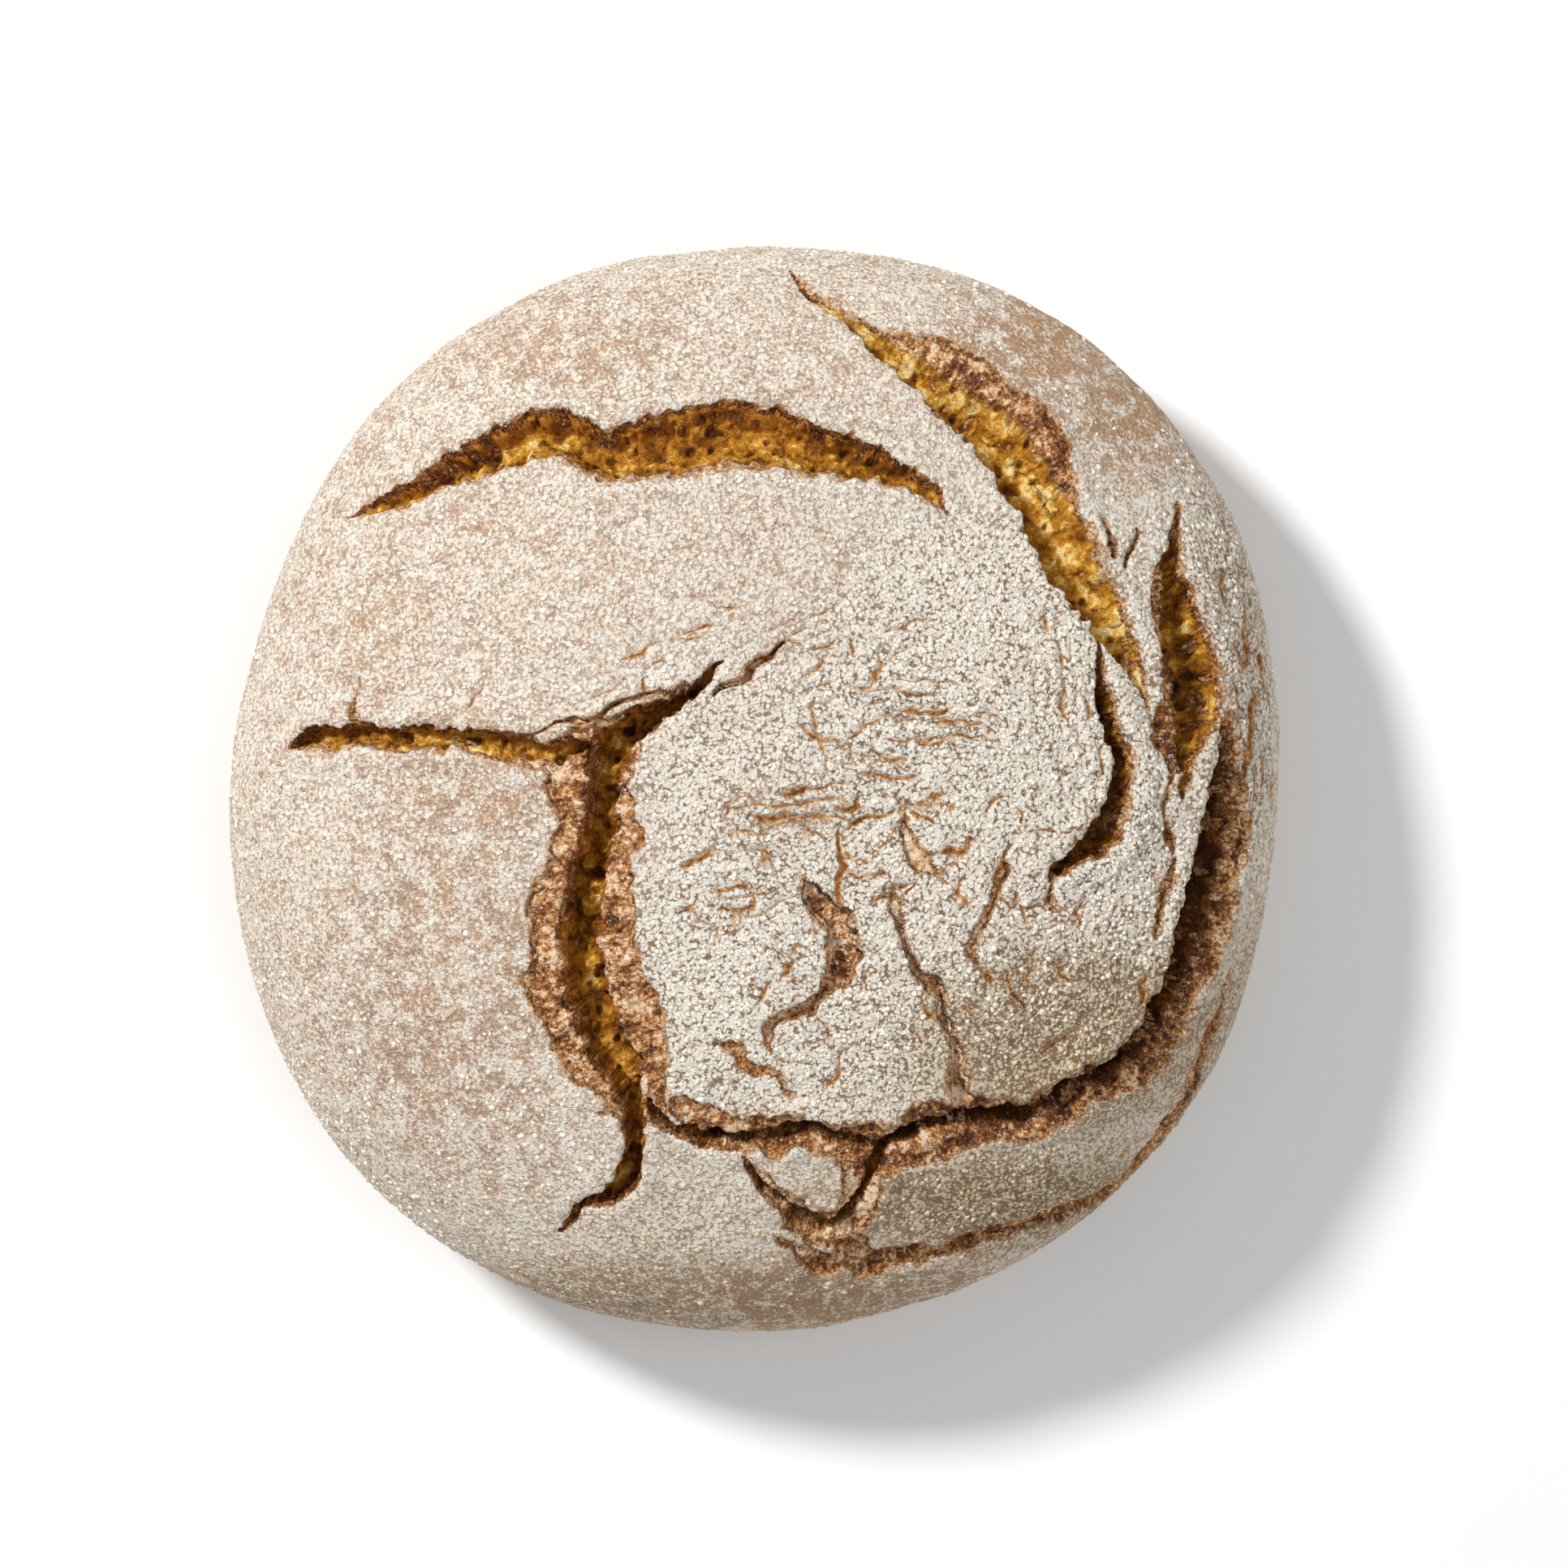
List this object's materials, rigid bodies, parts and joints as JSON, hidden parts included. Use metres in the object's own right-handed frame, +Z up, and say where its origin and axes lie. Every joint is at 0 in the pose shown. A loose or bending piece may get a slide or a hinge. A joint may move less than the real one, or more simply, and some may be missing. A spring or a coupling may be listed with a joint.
{
  "type": "sourdough loaf",
  "caption": "Round, uncut sourdough loaf with a floured crust burst open in deep ragged cracks, lying on its flat base.",
  "frame": {"origin": "centre of the loaf's box, on the plane of the flat base", "axes": "+Z up out of the crown, +Y along the loaf's slightly longer way across, towards the end where the long side crack starts, +X to the right of that seen from above"},
  "size_m": [0.2323, 0.2404, 0.0904],
  "materials": {
    "crust": "matte, floured"
  },
  "bodies": {
    "root": {"loaf": "crust"}
  },
  "joints": []
}
